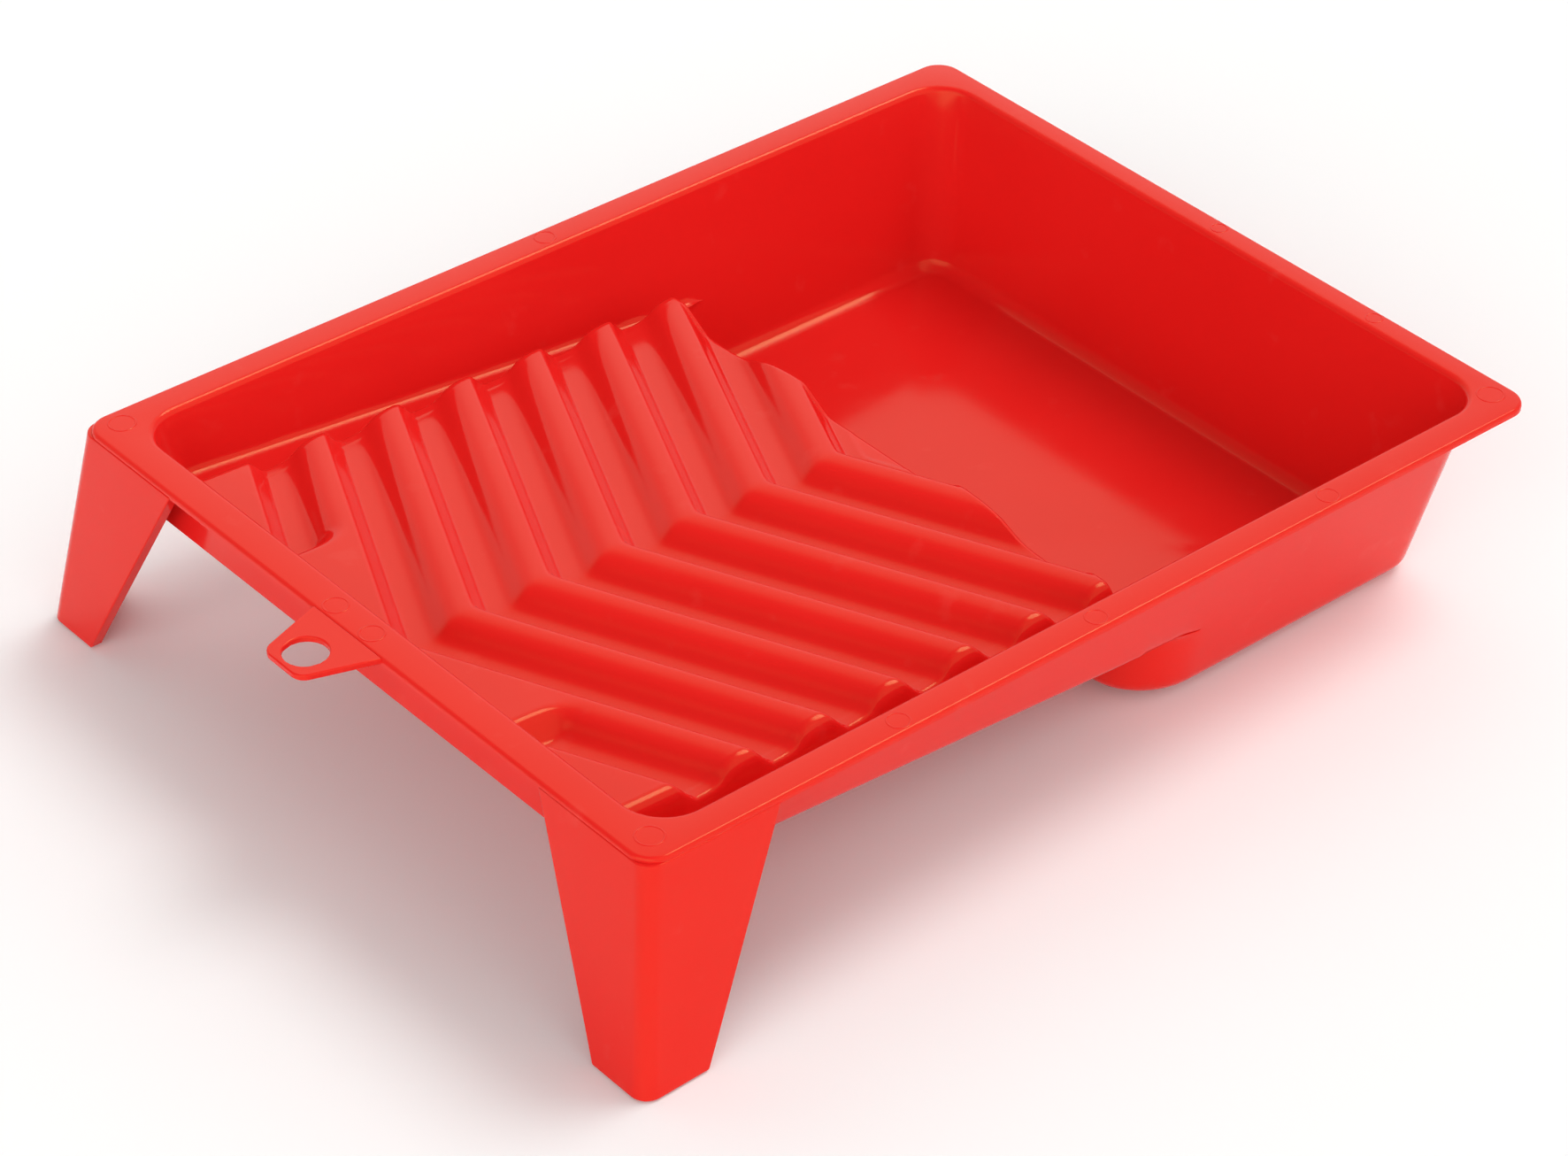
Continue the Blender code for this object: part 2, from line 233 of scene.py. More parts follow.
def tip_drop(x, depth):
    """How far the panel's end has fallen at x: a round shoulder, then a steep face."""
    radius = TIP_ROUND_CREST + (TIP_ROUND_TROUGH - TIP_ROUND_CREST) * depth
    over = x - (TIP_FACE - radius * math.sin(TIP_STEEP))
    if over <= 0.0:
        return 0.0
    if x <= TIP_FACE:
        return radius - math.sqrt(radius ** 2 - over ** 2)
    return radius * (1.0 - math.cos(TIP_STEEP)) + (x - TIP_FACE) * math.tan(TIP_STEEP)


# ---------------------------------------------------------------------------------------
# Stations round the rim and walls: each gives a point at an inward offset from the
# drafted wall's face, at any height, and a point on the rim's outer rectangle.
# Only the right half is made; it is mirrored afterwards.
# ---------------------------------------------------------------------------------------
def wall_x(z):
    return MOUTH_X + DRAFT * z


def corner_radius(z):
    return MOUTH_CORNER + z * CORNER_TAPER


def front_y(z):
    return MOUTH_FRONT - DRAFT * z


def back_y(z):
    return MOUTH_BACK + DRAFT * z


class Front:
    """A place on the front wall; along is its x, or its y in Side."""

    def __init__(self, along):
        self.along = along

    def at(self, inward, z):
        return Vector((self.along, front_y(z) + inward, z))

    def rim(self, inset, z):
        return Vector((self.along, -RIM_Y + inset, z))


class Back(Front):
    def at(self, inward, z):
        return Vector((self.along, back_y(z) - inward, z))

    def rim(self, inset, z):
        return Vector((self.along, RIM_Y - inset, z))


class Side(Front):
    def at(self, inward, z):
        return Vector((wall_x(z) - inward, self.along, z))

    def rim(self, inset, z):
        return Vector((RIM_X - inset, self.along, z))


class Corner:
    """A vertical corner; angle in radians, 0 is +X. end is -1 at the front, 1 at the back."""

    def __init__(self, angle, end):
        self.angle, self.end = angle, end

    def at(self, inward, z):
        r = corner_radius(z)
        x = wall_x(z) - r
        y = back_y(z) - r if self.end > 0 else front_y(z) + r
        r -= inward
        return Vector((x + r * math.cos(self.angle), y + r * math.sin(self.angle), z))

    def rim(self, inset, z):
        x, y = RIM_X - RIM_CORNER, self.end * (RIM_Y - RIM_CORNER)
        r = RIM_CORNER - inset
        return Vector((x + r * math.cos(self.angle), y + r * math.sin(self.angle), z))


def panel_columns():
    """The panel's x stations, closer together where it curves."""
    columns = spread(0.0, 7.0, 13)
    columns += spread(8.2, 47.0, 26)
    columns += spread(48.0, 58.0, 11)
    columns += spread(59.5, TIP_START - 0.8, 24)
    columns += spread(TIP_START, TIP_FACE, 15)
    columns += spread(TIP_FACE, TIP_END, 10)[1:]
    return columns


def panel_phases():
    """Rows close together over each rib's steep side, and wider over its long rise."""
    across = spread(0.0, RIB_FALL, 17)[:-1] + spread(RIB_FALL, RIB_ACROSS, 21)[:-1]
    first = math.floor(phase_at(TIP_END, PANEL_FRONT))
    phases = [pitch + s / RIB_ACROSS for pitch in range(first, 1) for s in across]
    return [phase for phase in phases if phase < LAST_PHASE]


COLUMNS = panel_columns()
PHASES = panel_phases()


def side_rows():
    """Where the panel's rows meet its right edge, from the front to the toe."""
    found = []
    for phase in PHASES:
        y = min(max(row_y(TIP_END, phase), PANEL_FRONT), TOE_START)
        if not found or y > found[-1] + SAME:
            found.append(y)
    return found


def side_station(y):
    """The wall's place beside a panel row: round the front corner, then along the side."""
    if y < GUTTER_CORNER_END - SAME:
        share = (GUTTER_CORNER_END - y) / (GUTTER_CORNER_END - PANEL_FRONT)
        return Corner(-math.pi / 2 * share, -1)
    return Side(y)


FILLET_STEPS = 7


def fillet(z_foot, radius, steps):
    """(inward, z) from a drafted wall's tangent point round to its foot."""
    centre_z = z_foot + radius
    centre_inward = radius / math.cos(WALL_LEAN)
    points = []
    for angle in spread(-WALL_LEAN, -math.pi / 2, steps):
        z = centre_z + radius * math.sin(angle)
        inward = centre_inward - radius * math.cos(angle) + DRAFT * (z - centre_z)
        points.append((inward, z))
    return points


def fillet_points(station, z_foot, radius):
    return [station.at(inward, z) for inward, z in fillet(z_foot, radius, FILLET_STEPS)]


def rim_section(station, tangent):
    """(top point, point under it or None) from the lip's lower edge to the wall's foot."""
    lip, inner = -LIP_HEIGHT, LIP_INNER_EDGE
    rows = [
        (station.rim(LIP_EDGE, lip), station.rim(LIP_WIDTH - inner, lip)),
        (station.rim(0.0, lip + LIP_EDGE), station.rim(LIP_WIDTH, lip + inner)),
        (station.rim(0.0, -RIM_EDGE), station.rim(LIP_WIDTH, -SHEET - inner / 2)),
    ]
    for step, angle in enumerate(spread(0.0, math.pi / 2, 6)[1:], start=1):
        inset = RIM_EDGE * (1 - math.cos(angle))
        top = station.rim(inset, RIM_EDGE * (math.sin(angle) - 1))
        rows.append((top, station.rim(LIP_WIDTH + UNDER_STEP * step, -SHEET)))
    centre = MOUTH_EDGE * (1 / math.cos(WALL_LEAN) - DRAFT)
    for angle in spread(math.pi / 2, math.pi - WALL_LEAN, 9):
        z = MOUTH_EDGE * (math.sin(angle) - 1)
        outward = centre + MOUTH_EDGE * math.cos(angle) - DRAFT * z
        rows.append((station.at(-outward, z), None))
    start = rows[-1][0].z
    for share in QUARTERS:
        z = start + (tangent.z - start) * share
        rows.append((station.at(0.0, z), None))
    return rows


SHARPEST_LEAN = 0.75  # limits how far a sharp crease pushes the point under it
SMOOTHING_TURNS = 12
TIGHT_REACH = 6.0  # how far round the tub's front corner the underside is smoothed


class Sheet:
    """Collects patches of the moulding's upper face, then gives them their thickness."""

    def __init__(self):
        self.bm = bmesh.new()
        self.under = self.bm.verts.layers.float_vector.new("under")

    def patch(self, rows):
        """A grid of faces. A point may be a pair: itself, and the point under it or None."""
        made = []
        for row in rows:
            line = []
            for point in row:
                top, under = point if isinstance(point, tuple) else (point, None)
                v = self.bm.verts.new(top)
                v[self.under] = under or (0.0, 0.0, 0.0)
                line.append(v)
            made.append(line)
        for first, second in zip(made, made[1:]):
            for i in range(len(first) - 1):
                self.bm.faces.new((first[i], first[i + 1], second[i + 1], second[i]))

    def cap(self, points):
        self.bm.faces.new([self.bm.verts.new(p) for p in points])

    def mirror(self):
        """Adds the left half, merges the seams and turns all faces up."""
        bm = self.bm
        half = bm.verts[:] + bm.edges[:] + bm.faces[:]
        copy = bmesh.ops.duplicate(bm, geom=half)["geom"]
        for v in copy:
            if isinstance(v, bmesh.types.BMVert):
                v.co.x = -v.co.x
                under = v[self.under].copy()
                under.x = -under.x
                v[self.under] = under
        faces = [g for g in copy if isinstance(g, bmesh.types.BMFace)]
        bmesh.ops.reverse_faces(bm, faces=faces)
        bmesh.ops.remove_doubles(bm, verts=bm.verts, dist=MERGE)
        bmesh.ops.dissolve_degenerate(bm, dist=MERGE, edges=bm.edges)
        bmesh.ops.recalc_face_normals(bm, faces=bm.faces)
        flat = max(bm.faces, key=lambda f: f.calc_area())
        if flat.normal.z < 0:
            bmesh.ops.reverse_faces(bm, faces=bm.faces)
        bm.normal_update()

    def point_under(self, v):
        """The stored point, or one sheet's thickness below the faces round the vertex."""
        stored = v[self.under]
        if stored.length > 0.0:
            return stored.copy()
        lean = min([1.0] + [abs(f.normal.dot(v.normal)) for f in v.link_faces])
        return v.co - v.normal * (SHEET / max(lean, SHARPEST_LEAN))

    def close(self):
        """Builds the underside and the edge between the two, and returns the solid."""
        self.mirror()
        bm = self.bm
        lower = {v: self.point_under(v) for v in bm.verts}
        faces = bm.faces[:]
        edges = [e for e in bm.edges if e.is_boundary]
        new = {v: bm.verts.new(point) for v, point in lower.items()}
        for f in faces:
            bm.faces.new([new[v] for v in reversed(f.verts)])
        for e in edges:
            a, b = e.verts
            if e.link_loops[0].vert is a:
                bm.faces.new((b, a, new[a], new[b]))
            else:
                bm.faces.new((a, b, new[b], new[a]))
        tight = [v for v in new.values() if under_tub_corner(v.co)]
        for _ in range(SMOOTHING_TURNS):
            bmesh.ops.smooth_vert(
                bm, verts=tight, factor=0.5, use_axis_x=True, use_axis_y=True, use_axis_z=True
            )
        return bm


def under_tub_corner(point):
    """Where the shelf beside the tub narrows to nothing, too tight for an even thickness."""
    beside = abs(point.x) > wall_x(TUB_TOP) - TUB_CORNER
    along = TOE_START < point.y < TUB_START_Y + TIGHT_REACH
    return beside and along and abs(point.z - TUB_TOP) < TIGHT_REACH


def place(name, bm, sharp=35.0):
    """Makes a piece of the tray from a mesh in millimetres."""
    bm.transform(TRAY)
    mesh = bpy.data.meshes.new(name)
    bm.to_mesh(mesh)
    bm.free()
    mesh.shade_smooth()
    mesh.set_sharp_from_angle(angle=math.radians(sharp))
    piece = bpy.data.objects.new(name, mesh)
    bpy.context.scene.collection.objects.link(piece)
    return piece


def toe_y(z):
    """Where the well's front wall is at a height."""
    return TOE_START + TOE_ROUND + TOE_LEAN * (TOE_LEVEL - z)


TUB_START_Y = toe_y(TUB_TOP) + TUB_CORNER
TOE_REACH = max(x for x in COLUMNS if x <= wall_x(TUB_TOP) - TUB_CORNER)


def on_toe_front(point):
    return point.x < TOE_REACH + 0.01


def ramp_patch(sheet):
    """The panel, its rounded toe and the well's front wall below it."""
    rows = []
    for phase in PHASES:
        row = []
        for x in COLUMNS:
            y = min(max(row_y(x, phase), PANEL_FRONT), TOE_START)
            row.append(Vector((x, y, ramp_z(x, y))))
        rows.append(row)
    sheet.patch(rows)
    toe = []
    for x in COLUMNS:
        z0 = ramp_z(x, TOE_START)
        end = TUB_TOP if x < TOE_REACH + 0.01 else SHELF
        r = min(TOE_ROUND, TOE_ROUND_SHARE * (z0 - end))
        line = []
        for angle in spread(0.0, math.pi / 2, 8):
            y, z = TOE_START + r * math.sin(angle), z0 - r * (1 - math.cos(angle))
            line.append(Vector((x, y, z)))
        round_end, foot = line[-1], Vector((x, toe_y(end), end))
        line += [round_end.lerp(foot, share) for share in spread(0.0, 1.0, 6)[1:]]
        toe.append(line)
    sheet.patch(toe)
    return [line[-1] for line in toe]


def across(start, end):
    """Four more points, from start to end."""
    return [start.lerp(end, share) for share in QUARTERS]


def wall_patches(sheet, toe_line):
    """Rim, walls and gutters; returns the shelf's outline and the tub's stations."""
    # Front wall, over the land at the ramp's front
    front = []
    for x in COLUMNS:
        z = ramp_z(x, PANEL_FRONT)
        foot = fillet_points(Front(x), z, FRONT_FILLET)
        front.append((Front(x), foot + [Vector((x, PANEL_FRONT, z))]))
    sheet.patch([foot for _, foot in front])
    # Right side, over the gutter. Its first section shares the front wall's last station.
    gutter = []
    for y in side_rows()[1:]:
        z = gutter_z(y)
        foot = fillet_points(side_station(y), z, GUTTER_FILLET)
        gutter.append((side_station(y), foot + across(foot[-1], Vector((TIP_END, y, z)))))
    *corner, edge = front[-1][1]
    sheet.patch([corner + across(corner[-1], edge)] + [foot for _, foot in gutter])
    # Past the toe: the shelf beside the tub's rounded corner, which narrows to nothing
    start = toe_line[-1].y
    shelf = []
    for y in spread(start, TUB_START_Y, 14):
        share = (TUB_START_Y - y) / (TUB_START_Y - start)
        z = TUB_TOP + (SHELF - TUB_TOP) * smooth(share, 0.0, 0.3)
        r = max(0.01, GUTTER_FILLET * smooth(share, 0.0, 0.35))
        if share < SAME:
            foot = [Side(y).at(0.0, TUB_TOP)] * FILLET_STEPS
        else:
            foot = fillet_points(Side(y), z, r)
        shelf.append((Side(y), foot))
    first = shelf[0][1]
    shelf_front = across(first[-1], toe_line[-1])
    sheet.patch([gutter[-1][1], first + shelf_front])
    sheet.patch([foot for _, foot in shelf])
    # The well's walls, which go on down into the tub
    well = [Side(y) for y in spread(TUB_START_Y, WELL_STRAIGHT_END, 12)[1:]]
    well += [Corner(angle, 1) for angle in spread(0.0, math.pi / 2, 13)]
    well += [Back(x) for x in spread(BACK_STRAIGHT_END, 0.0, 12)]
    sections = [rim_section(station, foot[0]) for station, foot in front + gutter + shelf]
    sections += [rim_section(station, station.at(0.0, TUB_TOP)) for station in well]
    sheet.patch(sections)
    outline = [p for p in toe_line if p.x >= TOE_REACH - 0.01]
    outline += list(reversed(shelf_front[:-1])) + [foot[-1] for _, foot in shelf]
    return outline, well


def tub_corner(share, outward, z):
    """A point round the tub's front corner; share 0 is at the toe, 1 at the side."""
    angle = -math.pi / 2 * (1 - share)
    sink = z - TUB_TOP
    x = wall_x(TUB_TOP) - TUB_CORNER
    reach = TUB_CORNER + outward
    return Vector((
        x + (reach + DRAFT * sink) * math.cos(angle),
        TUB_START_Y + (reach + TOE_LEAN * sink) * math.sin(angle),
        z,
    ))


def tub_patches(sheet, toe_line, outline, well):
    """The shelf round the tub's front corner, and the tub itself."""
    lengths = [0.0]
    for a, b in zip(outline, outline[1:]):
        lengths.append(lengths[-1] + (b - a).length)
    shares = [length / lengths[-1] for length in lengths]
    rows = [outline]
    for angle in spread(0.0, math.pi / 2, 6):
        row = []
        for share, outer in zip(shares, outline):
            round_off = SHELF_ROUND * min(1.0, 4 * share, 4 * (1 - share))
            z = outer.z + (TUB_TOP - outer.z) * (1 - math.cos(angle))
            row.append(tub_corner(share, round_off * (1 - math.sin(angle)), z))
        rows.append([outline[0]] + row[1:-1] + [outline[-1]])
    sheet.patch(rows)

    # The tub, from the toe's middle round its front corner and along the well's walls
    def ring(inward, z):
        points = [Vector((p.x, toe_y(z) + inward, z)) for p in toe_line if on_toe_front(p)]
        points += [tub_corner(share, -inward, z) for share in shares[1:]]
        return points + [station.at(inward, z) for station in well]

    fillet_start = WELL_FLOOR + WELL_FILLET * (1 - DRAFT)
    levels = [(0.0, z) for z in spread(TUB_TOP, fillet_start, 6)[:-1]]
    levels += fillet(WELL_FLOOR, WELL_FILLET, 9)
    rows = [ring(inward, z) for inward, z in levels]
    top = [p for p in toe_line if on_toe_front(p)]
    rows[0] = top + rows[0][len(top):]
    sheet.patch(rows)
    sheet.cap(rows[-1])


def moulding():
    sheet = Sheet()
    toe_line = ramp_patch(sheet)
    outline, well = wall_patches(sheet, toe_line)
    tub_patches(sheet, toe_line, outline, well)
    return place("tray_moulding", sheet.close())


# ---------------------------------------------------------------------------------------
# Apron, legs and tab
# ---------------------------------------------------------------------------------------
def loft(rows, ring=False):
    """Joins closed sections into a solid, with caps or, as a ring, back to the first."""
    bm = bmesh.new()
    rings = [[bm.verts.new(point) for point in row] for row in rows]
    pairs = list(zip(rings, rings[1:]))
    if ring:
        pairs.append((rings[-1], rings[0]))
    for first, second in pairs:
        count = len(first)
        for i in range(count):
            j = (i + 1) % count
            bm.faces.new((first[i], first[j], second[j], second[i]))
    if not ring:
        bm.faces.new(rings[0])
        bm.faces.new(rings[-1])
    bmesh.ops.recalc_face_normals(bm, faces=bm.faces)
    return bm


def bevelled(piece, width, segments=3):
    modifier = piece.modifiers.new("edges", "BEVEL")
    modifier.width = width * MM
    modifier.segments = segments
    modifier.limit_method = "ANGLE"
    modifier.angle_limit = math.radians(40.0)
    return piece


def arc(x, y, radius, start, end, steps):
    """Points round (x, y) between two angles in degrees."""
    angles = [math.radians(a) for a in spread(start, end, steps)]
    return [(x + radius * math.cos(a), y + radius * math.sin(a)) for a in angles]


def apron():
    back = APRON_FRONT + SHEET
    section = (
        (APRON_FRONT, APRON_TOP),
        (APRON_FRONT, APRON_BOTTOM),
        (back, APRON_BOTTOM),
        (back, APRON_TOP),
    )
    rows = [[(x, y, z) for y, z in section] for x in (-APRON_X, APRON_X)]
    return bevelled(place("apron", loft(rows)), 0.5)


def leg_section(z, foot=False):
    """An angle section with small returns; as the foot, its points lie on the ground."""
    x = RIM_X - LEG_SPLAY_X * z
    y = -RIM_Y + LEG_SPLAY_Y * z
    inner_x = LEG_INNER_X + LEG_INNER_TAPER * (LEG_EDGE_LEVEL - z)
    rear_y = LEG_REAR_Y - LEG_REAR_TAPER * (LEG_EDGE_LEVEL - z)
    t, back = LEG_SHEET, LEG_RETURN
    outline = [(inner_x, y + back), (inner_x, y)]
    outline += arc(x - LEG_CORNER, y + LEG_CORNER, LEG_CORNER, -90, 0, 9)
    outline += [(x, rear_y), (x - back, rear_y), (x - back, rear_y - t), (x - t, rear_y - t)]
    outline += arc(x - LEG_CORNER, y + LEG_CORNER, LEG_CORNER - t, 0, -90, 9)
    outline += [(inner_x + t, y + t), (inner_x + t, y + back)]
    return [(px, py, ground(py) if foot else z) for px, py in outline]


def leg(name, mirrored):
    rows = [leg_section(z) for z in spread(LEG_TOP, LEG_LOW, 7)]
    rows.append(leg_section(ground(-RIM_Y), foot=True))
    bm = loft(rows)
    if mirrored:
        bm.transform(Matrix.Scale(-1.0, 4, (1.0, 0.0, 0.0)))
        bmesh.ops.reverse_faces(bm, faces=bm.faces)
    return bevelled(place(name, bm), 0.35, segments=2)


def tab():
    root_y = -RIM_Y + TAB_OVERLAP
    x, y = TAB_TIP - TAB_CORNER, TAB_TIP_Y + TAB_CORNER
    outline = [(TAB_ROOT, root_y)]
    outline += arc(x, y, TAB_CORNER, -12, -90, 8)
    outline += arc(-x, y, TAB_CORNER, 270, 192, 8)
    outline.append((-TAB_ROOT, root_y))
    outline += [(x, root_y) for x in (-8.0, 0.0, 8.0)]
    dense = []
    for (x0, y0), (x1, y1) in zip(outline, outline[1:] + outline[:1]):
        for share in (0.0, 0.25, 0.5, 0.75):
            dense.append((x0 + (x1 - x0) * share, y0 + (y1 - y0) * share))
    hole = []
    for x, y in dense:
        scale = TAB_HOLE_R / math.hypot(x, y - TAB_HOLE_Y)
        hole.append((x * scale, TAB_HOLE_Y + (y - TAB_HOLE_Y) * scale))
    rows = (
        [(x, y, TAB_TOP) for x, y in dense],
        [(x, y, -TAB_THICKNESS) for x, y in dense],
        [(x, y, -TAB_THICKNESS) for x, y in hole],
        [(x, y, TAB_TOP) for x, y in hole],
    )
    return bevelled(place("tab", loft(rows, ring=True)), 0.45)


MARKS = (  # (x, y, radius) of the round ejector marks on the rim
    (120.6, -159.5, 4.0), (-123.0, -158.3, 4.0), (119.6, 160.7, 4.0), (69.0, 164.2, 2.5),
    (2.8, 164.2, 2.5), (125.3, 86.3, 3.3), (125.3, -5.0, 3.3), (125.3, -77.8, 3.3),
    (-125.3, -0.9, 3.3), (-11.8, -162.9, 3.6), (4.9, -162.9, 3.6),
)
MARK_WIDTH, MARK_HEIGHT = 0.35, 0.13
MARK_TURNS, MARK_SIDES = 48, 8


def ejector_marks():
    """Faint raised rings, each a thin closed torus half sunk in the rim."""
    bm = bmesh.new()
    for x, y, radius in MARKS:
        rings = []
        for a in spread(0.0, 2 * math.pi, MARK_TURNS + 1)[:-1]:
            ring = []
            for b in spread(0.0, 2 * math.pi, MARK_SIDES + 1)[:-1]:
                r = radius + MARK_WIDTH * math.cos(b)
                point = (x + r * math.cos(a), y + r * math.sin(a), MARK_HEIGHT * math.sin(b))
                ring.append(bm.verts.new(point))
            rings.append(ring)
        for first, second in zip(rings, rings[1:] + rings[:1]):
            for i in range(MARK_SIDES):
                j = (i + 1) % MARK_SIDES
                bm.faces.new((first[i], second[i], second[j], first[j]))
    bmesh.ops.recalc_face_normals(bm, faces=bm.faces)
    return place("ejector_marks", bm, sharp=60.0)


# ---------------------------------------------------------------------------------------
# Materials
# ---------------------------------------------------------------------------------------
RED_DARKER = (0.770, 0.0142, 0.0130, 1.0)
RED_LIGHTER = (0.790, 0.0160, 0.0146, 1.0)
RED_SCUFFED = (0.80, 0.045, 0.038, 1.0)
REFLECTION_TINT = (1.0, 0.93, 0.38, 1.0)


def red_polypropylene():
    """Glossy moulded plastic: faint flow mottling, fine orange peel, a few light scuffs."""
    material = bpy.data.materials.new("red_polypropylene")
    material.use_nodes = True
    nodes, links = material.node_tree.nodes, material.node_tree.links
    shader = nodes["Principled BSDF"]
    position = nodes.new("ShaderNodeTexCoord").outputs["Object"]

    def noise(scale, detail):
        node = nodes.new("ShaderNodeTexNoise")
        node.inputs["Scale"].default_value = scale
        node.inputs["Detail"].default_value = detail
        links.new(position, node.inputs["Vector"])
        return node.outputs["Fac"]

    def remap(value, low, high, to_low, to_high):
        node = nodes.new("ShaderNodeMapRange")
        links.new(value, node.inputs["Value"])
        node.inputs["From Min"].default_value = low
        node.inputs["From Max"].default_value = high
        node.inputs["To Min"].default_value = to_low
        node.inputs["To Max"].default_value = to_high
        return node.outputs["Result"]

    def mixed(factor, low, high):
        """A colour between low, a colour or another node's output, and high."""
        node = nodes.new("ShaderNodeMix")
        node.data_type = "RGBA"
        factor_in, low_in, high_in = node.inputs[0], node.inputs[6], node.inputs[7]
        links.new(factor, factor_in)
        if isinstance(low, tuple):
            low_in.default_value = low
        else:
            links.new(low, low_in)
        high_in.default_value = high
        return node.outputs[2]

    mottle = remap(noise(14.0, 3.0), 0.35, 0.65, 0.0, 1.0)
    scuffs = remap(noise(75.0, 8.0), 0.64, 0.74, 0.0, 0.35)
    plastic = mixed(mottle, RED_DARKER, RED_LIGHTER)
    links.new(mixed(scuffs, plastic, RED_SCUFFED), shader.inputs["Base Color"])
    gloss = remap(noise(60.0, 4.0), 0.3, 0.7, 0.09, 0.13)
    roughness = nodes.new("ShaderNodeMath")  # scuffs * 0.4 + gloss
    roughness.operation = "MULTIPLY_ADD"
    links.new(scuffs, roughness.inputs[0])
    roughness.inputs[1].default_value = 0.4
    links.new(gloss, roughness.inputs[2])
    links.new(roughness.outputs["Value"], shader.inputs["Roughness"])
    shader.inputs["Specular IOR Level"].default_value = 0.24
    shader.inputs["Specular Tint"].default_value = REFLECTION_TINT
    shader.inputs["IOR"].default_value = 1.49
    bump = nodes.new("ShaderNodeBump")
    bump.inputs["Strength"].default_value = 0.04
    bump.inputs["Distance"].default_value = 0.0002
    links.new(noise(420.0, 2.0), bump.inputs["Height"])
    links.new(bump.outputs["Normal"], shader.inputs["Normal"])
    return material


# ---------------------------------------------------------------------------------------
# Stage
# ---------------------------------------------------------------------------------------
FLOOR_SIZE, FLOOR_GAP = 60.0, 0.0006  # metres; the gap keeps the feet out of the floor
FLOOR_WHITE = (0.945, 0.955, 0.985, 1.0)


def floor():
    bpy.ops.mesh.primitive_plane_add(size=FLOOR_SIZE, location=(0.0, 0.0, -FLOOR_GAP))
    plane = bpy.context.object
    plane.name = "floor"
    material = bpy.data.materials.new("floor_white")
    material.use_nodes = True
    shader = material.node_tree.nodes["Principled BSDF"]
    shader.inputs["Base Color"].default_value = FLOOR_WHITE
    shader.inputs["Roughness"].default_value = 0.8
    plane.data.materials.append(material)


# Soft light from all round: (direction, cosine where it starts, cosine where it is full,
# strength). The directions are row-frame ones, towards the light.
FILL = 0.57
LIGHTS = (
    ((-0.50, 0.62, 0.60), 0.82, 0.99, 0.62),  # soft box behind, to the left
    ((-0.90, 0.08, 0.42), 0.60, 0.97, 0.30),  # low strip on the left
    ((0.03, 0.54, 0.84), 0.962, 0.990, 7.0),  # small bright box overhead, behind
    ((0.88, 0.22, 0.40), 0.35, 0.95, 0.47),  # fill on the right
    ((0.35, -0.88, 0.30), 0.72, 0.98, 2.05),  # soft box in front
)
DARK = ((-0.10, -0.56, 0.82), 0.55, 0.85, -0.42)  # what the ribs' right arms reflect
WARM_WHITE = (1.0, 0.985, 0.945, 1.0)


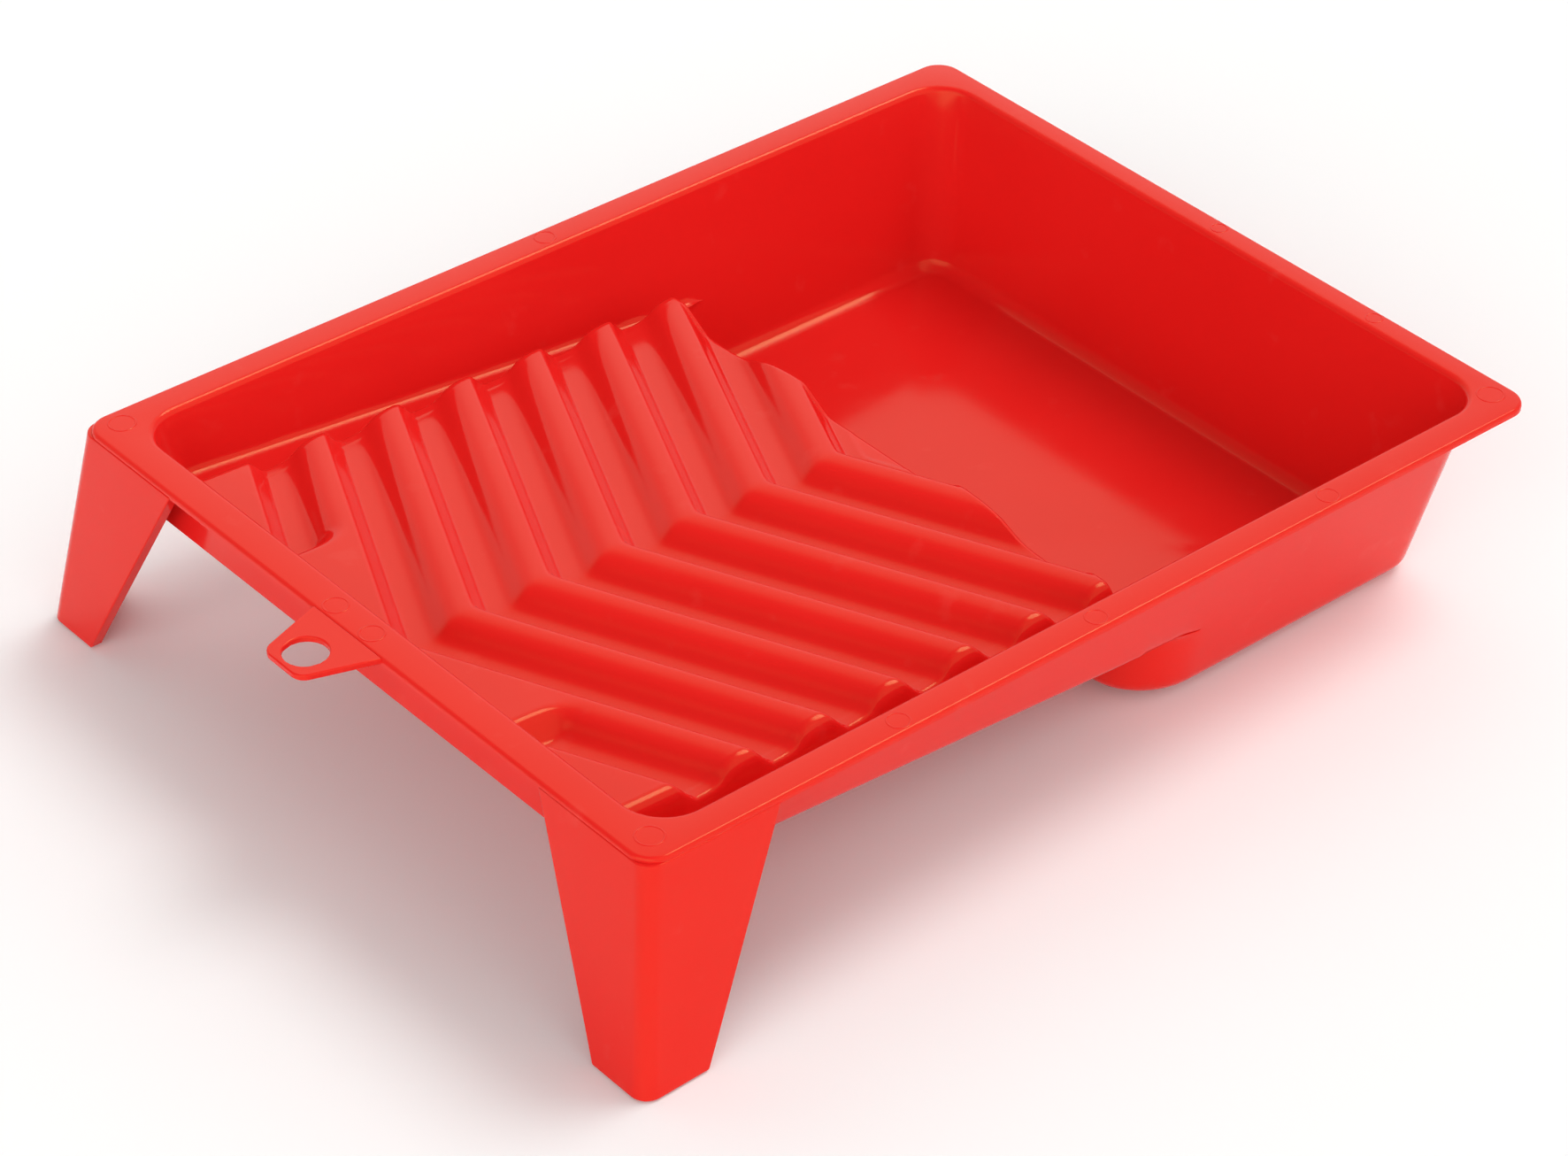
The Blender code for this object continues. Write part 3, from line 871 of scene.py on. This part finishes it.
def studio():
    """A white studio as a world: soft boxes whose edges fade, and a darker front."""
    world = bpy.data.worlds.new("studio")
    world.use_nodes = True
    nodes, links = world.node_tree.nodes, world.node_tree.links
    background = nodes["Background"]
    background.inputs["Color"].default_value = WARM_WHITE
    direction = nodes.new("ShaderNodeTexCoord").outputs["Generated"]
    total = None  # the sum so far, which starts at FILL
    for toward, start, full, strength in LIGHTS + (DARK,):
        dot = nodes.new("ShaderNodeVectorMath")
        dot.operation = "DOT_PRODUCT"
        links.new(direction, dot.inputs[0])
        dot.inputs[1].default_value = Vector(toward).normalized()
        ramp = nodes.new("ShaderNodeMapRange")
        ramp.interpolation_type = "SMOOTHSTEP"
        links.new(dot.outputs["Value"], ramp.inputs["Value"])
        ramp.inputs["From Min"].default_value = start
        ramp.inputs["From Max"].default_value = full
        ramp.inputs["To Min"].default_value = 0.0
        ramp.inputs["To Max"].default_value = strength
        add = nodes.new("ShaderNodeMath")
        add.operation = "ADD"
        add.inputs[0].default_value = FILL
        if total:
            links.new(total, add.inputs[0])
        links.new(ramp.outputs["Result"], add.inputs[1])
        total = add.outputs["Value"]
    links.new(total, background.inputs["Strength"])
    bpy.context.scene.world = world
    bpy.context.scene.view_settings.view_transform = "Standard"


# The photograph's view: angles in the rim's frame in degrees, the distance from the rim's
# centre and the aim's offset from it in millimetres, and the lens on a 36 mm wide sensor
AZIMUTH, ELEVATION, ROLL = 48.846, 36.135, 0.988
DISTANCE, AIM_ACROSS, AIM_UP = 1357.8, -5.995, -48.077
SENSOR, LENS = 36.0, 106.7932
SHIFT_X, SHIFT_Y = -0.005135, -0.000395


def camera():
    azimuth, elevation, roll = (math.radians(v) for v in (AZIMUTH, ELEVATION, ROLL))
    toward = Vector((
        math.sin(azimuth) * math.cos(elevation),
        -math.cos(azimuth) * math.cos(elevation),
        math.sin(elevation),
    ))
    right = (-toward).cross(Vector((0, 0, 1))).normalized()
    up = right.cross(-toward)
    turned_right = right * math.cos(roll) + up * math.sin(roll)
    turned_up = up * math.cos(roll) - right * math.sin(roll)
    position = toward * DISTANCE + turned_right * AIM_ACROSS + turned_up * AIM_UP
    basis = Matrix((turned_right, turned_up, toward)).transposed()
    turn = TRAY.to_3x3().normalized() @ basis
    data = bpy.data.cameras.new("camera")
    data.sensor_width = SENSOR
    data.lens = LENS
    data.shift_x, data.shift_y = SHIFT_X, SHIFT_Y
    data.clip_start, data.clip_end = 0.05, 50.0
    cam = bpy.data.objects.new("camera", data)
    cam.matrix_world = Matrix.Translation(TRAY @ position) @ turn.to_4x4()
    bpy.context.scene.collection.objects.link(cam)
    bpy.context.scene.camera = cam


def main():
    red = red_polypropylene()
    root = next(iter(frame["bodies"]))
    pieces = (
        (moulding(), ("rim_flange", "side_wall_right", "side_wall_left", "well_wall",
                      "well_pan", "ramp_panel")),
        (apron(), ("front_wall",)),
        (leg("right_leg", mirrored=False), ("leg_right",)),
        (leg("left_leg", mirrored=True), ("leg_left",)),
        (tab(), ("hanging_tab",)),
        (ejector_marks(), ()),
    )
    for piece, nodes in pieces:
        piece.data.materials.append(red)
        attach(piece, root)
        if nodes:
            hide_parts(*nodes)
    floor()
    studio()
    camera()


main()
